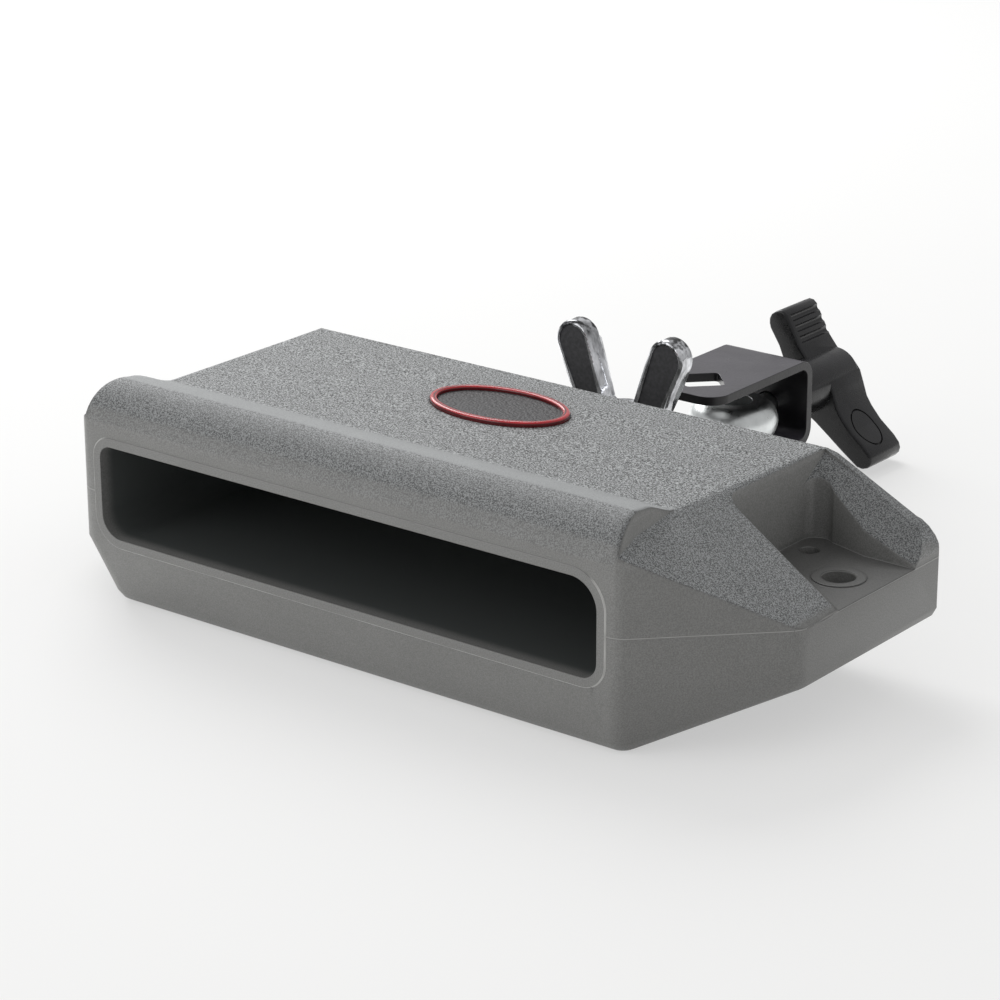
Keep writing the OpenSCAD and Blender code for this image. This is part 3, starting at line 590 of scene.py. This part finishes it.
class WOODBLOCK_OT_block(bpy.types.Operator):
    """Moulded block with its slot, ears, webs and shelf"""
    bl_idname = "woodblock.block"
    bl_label = "Block"
    bl_options = {"REGISTER", "UNDO"}

    def execute(self, context):
        edge = look("block").edge
        bm = merged_copy("block_body", 1.5e-5)
        weigh(bm, edge, self.radius)
        mesh = as_mesh(bm, "block_shell", 24)
        shell = link(mesh, "block_shell", [moulded_plastic()], "block")
        rounded(shell, edge, 3, by_weight=True)
        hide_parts("block_body")
        return {"FINISHED"}

    def radius(self, edge):
        """Rounding of one sharp edge by its place on the block."""
        middle = (edge.verts[0].co + edge.verts[1].co) / 2
        across, deep, z = abs(middle.x), middle.y - FRONT, middle.z
        at_badge = across < 0.027 and 0.05 < deep < 0.105 and z > 0.06
        if z < 0.0225 or at_badge:
            return 0
        # the raised frame on the front face, and behind it the sound chamber
        if across < 0.102 and deep < 0.0005 and z < 0.0605:
            return 0.0002
        if across < CHAMBER_HALF and deep < CHAMBER_DEPTH and z < 0.06:
            return 0
        # the rear shelf
        if deep > 0.1115 and across < 0.024:
            return 0.0008 if edge.is_convex and edge.calc_face_angle(0) > math.radians(60) else 0
        if not edge.is_convex or z < 0.03 or z > 0.0645:
            return 0
        # the flared corners, and the long edges of the ears behind them
        if deep < 0.0405 and across > 0.104 and edge.calc_length() > 0.0015:
            return 0.0018
        if deep < 0.058 and across > 0.1045 and edge.calc_length() > 0.012:
            return 0.0012
        return 0


class WOODBLOCK_OT_badge(bpy.types.Operator):
    """Oval badge with its raised ring"""
    bl_idname = "woodblock.badge"
    bl_label = "Badge"
    bl_options = {"REGISTER", "UNDO"}

    def execute(self, context):
        bm = merged_copy("badge")
        weigh(bm, RING_EDGE, self.radius)
        for face in bm.faces:
            reach = max(Vector((v.co.x / BADGE_A, (v.co.y - BADGE_Y) / BADGE_B)).length
                        for v in face.verts)
            if reach < 0.92 and face.normal.z > 0.9:
                face.material_index = 1
        finishes = [ring_enamel(), badge_plate()]
        piece = link(as_mesh(bm, "badge_ring"), "badge_ring", finishes, "block")
        rounded(piece, RING_EDGE, 4, by_weight=True)
        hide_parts("badge")
        return {"FINISHED"}

    def radius(self, edge):
        """Only the two upper edges of the ring are rounded."""
        return RING_EDGE if edge.is_convex and min(v.normal.z for v in edge.verts) > 0.2 else 0


class WOODBLOCK_OT_bracket(bpy.types.Operator):
    """Bent strap and its locating pin"""
    bl_idname = "woodblock.bracket"
    bl_label = "Bracket"
    bl_options = {"REGISTER", "UNDO"}

    def execute(self, context):
        m = look("metal")
        mesh = as_mesh(self.strap(m), "bracket_strap", 40)
        strap = link(mesh, "bracket_strap", [black_coat()], "block")
        rounded(strap, 0.0005, 3, 40)
        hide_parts("bracket")
        zinc = turned_metal("pin_zinc", m.zinc, 0.28)
        stand_in("locating_pin", "pin", zinc, "block", 0.0002, 2)
        return {"FINISHED"}

    def strap(self, m):
        """Strap bent from its side outline, with its corners rounded and its openings cut."""
        leg_front = LEG_BACK - STRAP_T
        foot_top = STRAP_Z + STRAP_T
        plate_low = STRAP_TOP - STRAP_T
        side = [(STRAP_FOOT, STRAP_Z), (LEG_BACK, STRAP_Z), (LEG_BACK, STRAP_TOP),
                (STRAP_FRONT, STRAP_TOP), (STRAP_FRONT, plate_low), (leg_front, plate_low),
                (leg_front, foot_top), (STRAP_FOOT, foot_top)]
        bends = [(1, m.bend), (2, m.bend), (5, m.bend - STRAP_T), (6, m.bend - STRAP_T)]
        # outline axes u, v and the push become Y, Z and X
        place = Matrix(((0, 0, 1, -STRAP_W / 2), (1, 0, 0, 0), (0, 1, 0, 0), (0, 0, 0, 1)))
        bm = prism(side, STRAP_W, place, bends)
        ends = [e for e in bm.edges
                if abs(e.verts[0].co.z - e.verts[1].co.z) > STRAP_T * 0.9
                and abs(e.verts[0].co.y - e.verts[1].co.y) < 1e-5
                and max(v.co.y for v in e.verts) < STRAP_FRONT + 1e-5]
        bmesh.ops.bevel(bm, geom=ends, offset=m.corner, offset_type="OFFSET", segments=8, profile=0.5,
                        affect="EDGES", clamp_overlap=False, material=-1)
        low = STRAP_Z - 0.001
        turned = Matrix.Translation((0, ROD_Y, low)) @ Matrix.Rotation(math.radians(45), 4, "Z")
        openings = prism(square(0.0068), 0.04, turned, [(i, 0.0016) for i in range(4)])
        neck = prism(square(0.0041), 0.006, Matrix.Translation((0, BOLT_Y, low)))
        shank = rod(SHANK + 0.0004, (0, LEG_BACK - 0.008, EYE_AXIS), (0, LEG_BACK + 0.002, EYE_AXIS))
        pin = rod(0.0029, (0, PIN_Y, low), (0, PIN_Y, STRAP_Z + 0.006), 48)
        return combined(bm, [openings, neck, shank, pin], "DIFFERENCE")


class WOODBLOCK_OT_bracket_bolt(bpy.types.Operator):
    """Bracket bolt, flat washer and split washer"""
    bl_idname = "woodblock.bracket_bolt"
    bl_label = "Bracket bolt"
    bl_options = {"REGISTER", "UNDO"}

    def execute(self, context):
        m = look("metal")
        bolt = turned_metal("bolt_zinc", m.zinc, 0.3)
        washer = turned_metal("washer_zinc", m.zinc, 0.26)
        spring = turned_metal("spring_steel", m.spring, 0.36)
        stand_in("bracket_bolt", "carriage_bolt", bolt, "block", 0.0002, 2)
        stand_in("flat_washer", "washer", washer, "washers", 0.00025, 2)
        stand_in("split_washer", "spring", spring, "washers", 0.0003, 2)
        return {"FINISHED"}


class WOODBLOCK_OT_wing_nut(bpy.types.Operator):
    """Cast wing nut with sunk faces painted dark as a reflection"""
    bl_idname = "woodblock.wing_nut"
    bl_label = "Wing nut"
    bl_options = {"REGISTER", "UNDO"}

    def execute(self, context):
        bm = merged_copy("wing_nut")
        weigh(bm, WING_RIM, self.radius)
        # the sunk faces take the painted dark reflection
        for face in bm.faces:
            out = abs(face.calc_center_median().y - BOLT_Y)
            if abs(face.normal.y) > 0.98 and abs(out - WING_SUNK) < 0.0002:
                face.material_index = 1
        mesh = as_mesh(bm, "wings", 30)
        wings = link(mesh, "wings", [chrome_painted_reflections(), dark_reflection_face()], "wing")
        rounded(wings, WING_RIM, 4, by_weight=True)
        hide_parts("wing_nut")
        return {"FINISHED"}

    def radius(self, edge):
        """The rims are well rounded outside and crisp at the sunk faces."""
        if not edge.is_convex or min(v.co.z for v in edge.verts) < 0.053:
            return 0
        reach = min(abs(v.co.y - BOLT_Y) for face in edge.link_faces for v in face.verts)
        return 0.00015 if reach < WING_SUNK + 0.0003 else WING_RIM


class WOODBLOCK_OT_eye_bolt(bpy.types.Operator):
    """Eye bolt and the washer behind the bracket"""
    bl_idname = "woodblock.eye_bolt"
    bl_label = "Eye bolt"
    bl_options = {"REGISTER", "UNDO"}

    def execute(self, context):
        m = look("metal")
        eye = turned_metal("eye_zinc", m.zinc, 0.33)
        washer = turned_metal("leg_washer_zinc", m.zinc, 0.3)
        stand_in("eye_bolt", "eye", eye, "eye", 0.0004)
        stand_in("knob_washer", "leg_washer", washer, "block", 0.0003, 2)
        return {"FINISHED"}


class WOODBLOCK_OT_knob(bpy.types.Operator):
    """Clamp knob with its brass insert"""
    bl_idname = "woodblock.knob"
    bl_label = "Knob"
    bl_options = {"REGISTER", "UNDO"}

    def execute(self, context):
        mesh = as_mesh(self.body(look("knob")), "knob", 34)
        knob = link(mesh, "knob", [knob_plastic()], "knob")
        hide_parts("knob_body")
        brass = turned_metal("insert_brass", look("metal").brass, 0.3)
        stand_in("knob_insert", "insert", brass, "knob", 0.0003, 2)
        return {"FINISHED"}

    def body(self, k):
        """Cranked wings on a round boss, with grip grooves, an oval and the seat of the insert."""
        outline = [(-0.0057, 0.0240), (-0.0053, 0.0258), (-0.0044, 0.0274), (-0.0029, 0.0284),
                   (-0.0008, 0.0287), (0.0012, 0.0285), (0.0026, 0.0275), (0.0032, 0.0258),
                   (0.0032, 0.0137), (0.0042, 0.0086), (0.0064, 0.0046), (0.0089, 0.0012),
                   (0.0096, -0.0021), (0.0089, -0.0066), (0.0080, -0.0117), (0.0083, -0.0155),
                   (0.0096, -0.0212), (0.0124, -0.0281), (0.0132, -0.0314), (0.0128, -0.0334),
                   (0.0116, -0.0347), (0.0098, -0.0353), (0.0078, -0.0349), (0.0060, -0.0336),
                   (0.0024, -0.0262), (-0.0006, -0.0194), (-0.0034, -0.0133), (-0.0076, -0.0060),
                   (-0.0080, 0.0020), (-0.0058, 0.0110), (-0.0052, 0.0170)]
        outline.reverse()
        turn, lift = math.cos(k.lean), math.sin(k.lean)
        place = Matrix(((turn, -lift, 0, 0), (0, 0, -1, KNOB_BACK), (lift, turn, 0, EYE_AXIS),
                        (0, 0, 0, 1)))
        wings = prism(outline, k.depth, place)
        wings_front = KNOB_BACK - k.depth
        boss = rod(k.boss, (0, KNOB_FRONT, EYE_AXIS), (0, wings_front + 0.006, EYE_AXIS))
        disc = rod(k.boss, (0, wings_front + 0.0003, EYE_AXIS), (0, KNOB_BACK - 0.0012, EYE_AXIS))
        for shape in (wings, boss, disc):
            soften(shape, k.edge)
        body = combined(wings, [boss, disc], "UNION")
        mouth = (0, KNOB_FRONT - 0.001, EYE_AXIS)
        cuts = [rod(0.0075056, mouth, (0, KNOB_FRONT + 0.01, EYE_AXIS), 6),
                rod(SHANK + 0.0006, mouth, (0, 0.21, EYE_AXIS))]
        grooves = []
        for i in range(3):
            u, v = 0.0036, 0.0243 - 0.0042 * i
            grooves.append(rod(k.groove, (u, v, -0.002), (u, v, 0.018), 20))
        # engraved oval line on the sloping outer face of the lower wing
        slope = Matrix(((0.31, 0, -0.95, 0.0113), (-0.95, 0, -0.31, -0.0215), (0, 1, 0, k.depth * 0.55),
                        (0, 0, 0, 1)))
        core = prism(ellipse(0.0072, 0.0056), 0.004, slope @ Matrix.Translation((0, 0, -0.001)))
        oval = combined(prism(ellipse(0.0078, 0.0062), 0.0019, slope), [core], "DIFFERENCE")
        for shape in (*grooves, oval):
            bmesh.ops.transform(shape, matrix=place, verts=shape.verts[:])
            cuts.append(shape)
        return combined(body, cuts, "DIFFERENCE")


class WOODBLOCK_OT_stage(bpy.types.Operator):
    """Floor, soft light and camera"""
    bl_idname = "woodblock.stage"
    bl_label = "Stage"
    bl_options = {"REGISTER", "UNDO"}

    def execute(self, context):
        s = look("stage")
        context.scene.view_settings.view_transform = "Standard"
        self.floor(s, context.scene)
        self.world(s, context.scene)
        self.lamp("key", (-1.0, 0.55, 0.95), (0.0, 0.02, 0.03), 1.2, s.key, context.scene)
        self.lamp("fill", (-0.5, -1.1, 0.5), (0.0, 0.0, 0.03), 1.1, s.fill, context.scene)
        self.camera(s, context.scene)
        return {"FINISHED"}

    def floor(self, s, scene):
        """Pale paper that the camera sees nearly white, with the object's shadow."""
        bm = bmesh.new()
        bmesh.ops.create_grid(bm, x_segments=1, y_segments=1, size=4.0)
        mesh = bpy.data.meshes.new("floor")
        bm.to_mesh(mesh)
        bm.free()
        floor = bpy.data.objects.new("floor", mesh)
        scene.collection.objects.link(floor)
        f = Finish("floor_paper", s.floor, 0.9, Specular_IOR_Level=0.1)
        path = f.add("ShaderNodeLightPath").outputs
        seen = f.math("MAXIMUM", path["Is Camera Ray"], path["Is Glossy Ray"])
        f.shader.inputs["Emission Color"].default_value = (1, 1, 1, 1)
        f.to("Emission Strength", f.times(seen, s.glow))
        paper = f.scale(s.floor, f.cloud(0.2, 0.995, 1.005))
        f.to("Base Color", f.mix(path["Is Camera Ray"], paper, f.scale(paper, s.shade)))
        mesh.materials.append(f.material)

    def world(self, s, scene):
        """Even sky light, white to the camera."""
        world = bpy.data.worlds.new("studio")
        scene.world = world
        world.use_nodes = True
        nodes, links = world.node_tree.nodes, world.node_tree.links
        back = nodes["Background"]
        path = nodes.new("ShaderNodeLightPath")
        seen = nodes.new("ShaderNodeMath")
        seen.operation = "MAXIMUM"
        links.new(path.outputs["Is Camera Ray"], seen.inputs[0])
        links.new(path.outputs["Is Transmission Ray"], seen.inputs[1])
        level = nodes.new("ShaderNodeMapRange")
        level.inputs["To Min"].default_value = s.world
        level.inputs["To Max"].default_value = 1.0
        links.new(seen.outputs[0], level.inputs["Value"])
        back.inputs["Color"].default_value = (1, 1, 1, 1)
        links.new(level.outputs["Result"], back.inputs["Strength"])

    def lamp(self, name, place, aim, size, power, scene):
        """Round soft lamp that looks at a point."""
        data = bpy.data.lights.new(name, "AREA")
        data.shape = "DISK"
        data.size = size
        data.energy = power
        lamp = bpy.data.objects.new(name, data)
        scene.collection.objects.link(lamp)
        lamp.location = place
        lamp.rotation_euler = (Vector(aim) - Vector(place)).to_track_quat("-Z", "Y").to_euler()

    def camera(self, s, scene):
        """Long lens from the front right, a little above."""
        data = bpy.data.cameras.new("camera")
        camera = bpy.data.objects.new("camera", data)
        scene.collection.objects.link(camera)
        right = Vector((0.78761, 0.61617, -0.00295))
        up = Vector((-0.20839, 0.27087, 0.93979))
        back = Vector((0.57987, -0.73957, 0.34174))
        place = Vector((0.62697, -0.78194, 0.40568))
        turn = Matrix((right, up, back)).transposed().to_4x4()
        camera.matrix_world = Matrix.Translation(place) @ turn
        data.lens = s.lens
        data.sensor_width = 36
        data.clip_end = 20
        scene.camera = camera


class WOODBLOCK_PT_panel(bpy.types.Panel):
    """Steps that build the woodblock"""
    bl_label = "Woodblock"
    bl_idname = "WOODBLOCK_PT_panel"
    bl_space_type = "VIEW_3D"
    bl_region_type = "UI"
    bl_category = "Woodblock"

    def draw(self, context):
        for step in STEPS:
            self.layout.operator(step.bl_idname)


GROUPS = {"block": BlockLook, "badge": BadgeLook, "metal": MetalLook, "knob": KnobLook,
          "stage": StageLook}
STEPS = (WOODBLOCK_OT_block, WOODBLOCK_OT_badge, WOODBLOCK_OT_bracket, WOODBLOCK_OT_bracket_bolt,
         WOODBLOCK_OT_wing_nut, WOODBLOCK_OT_eye_bolt, WOODBLOCK_OT_knob, WOODBLOCK_OT_stage)


def register():
    for name, group in GROUPS.items():
        bpy.utils.register_class(group)
        setattr(bpy.types.Scene, "woodblock_" + name, PointerProperty(type=group))
    for cls in (*STEPS, WOODBLOCK_PT_panel):
        bpy.utils.register_class(cls)


def unregister():
    for cls in reversed((*STEPS, WOODBLOCK_PT_panel)):
        bpy.utils.unregister_class(cls)
    for name, group in reversed(list(GROUPS.items())):
        delattr(bpy.types.Scene, "woodblock_" + name)
        bpy.utils.unregister_class(group)


def main():
    register()
    for step in STEPS:
        getattr(bpy.ops.woodblock, step.bl_idname.split(".")[1])()


if __name__ == "__main__":
    main()
